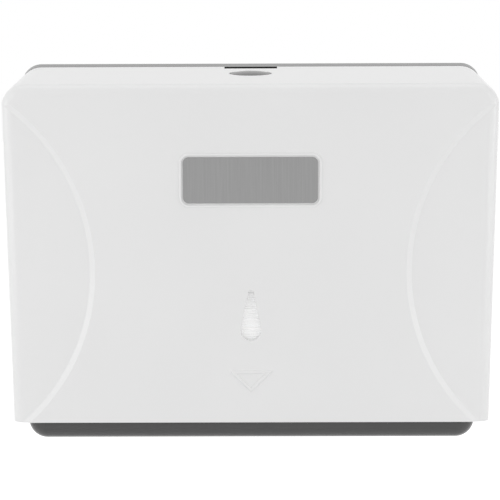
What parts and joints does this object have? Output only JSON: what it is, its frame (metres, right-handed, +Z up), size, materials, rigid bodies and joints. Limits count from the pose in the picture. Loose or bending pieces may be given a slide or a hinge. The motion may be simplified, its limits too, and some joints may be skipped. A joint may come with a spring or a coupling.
{
  "type": "paper towel dispenser",
  "caption": "Wall-mounted dispenser for folded paper towels, with a tip-down white cover, sight window and release button.",
  "frame": {"origin": "on the wall face, at the centre of the four screw holes, which is also the middle of the rear plate's height", "axes": "+X to the right as the user faces it, +Y into the wall, so the cover is at -Y, and +Z up"},
  "size_m": [0.2696, 0.1018, 0.205],
  "materials": {
    "white_abs": "satin",
    "grey_abs": "satin",
    "satin_foil": "satin",
    "towel_paper": "matte",
    "spring_steel": "drawn",
    "plated_steel": "zinc plated"
  },
  "bodies": {
    "housing": {"rear_housing": "grey_abs", "towel_stack": "towel_paper", "hinge_pin_left": "plated_steel", "hinge_pin_right": "plated_steel"},
    "cover": {"front_cover": "white_abs", "name_plate": "satin_foil", "latch_spring": "spring_steel", "latch_bracket": "grey_abs", "bracket_screw_left": "plated_steel", "bracket_screw_right": "plated_steel"},
    "latch": {"latch_button": "grey_abs"}
  },
  "joints": [
    {"name": "cover_hinge", "type": "hinge", "parent": "housing", "child": "cover", "pos_m": [0, -0.019, -0.0848], "axis": [1, 0, 0], "range_deg": [0, 90]},
    {"name": "latch_press", "type": "slide", "parent": "cover", "child": "latch", "axis": [0, 0, -1], "range_m": [0, 0.004], "stiffness_N_per_m": 500, "springref_m": -0.003, "deforming": ["latch_spring"]}
  ]
}
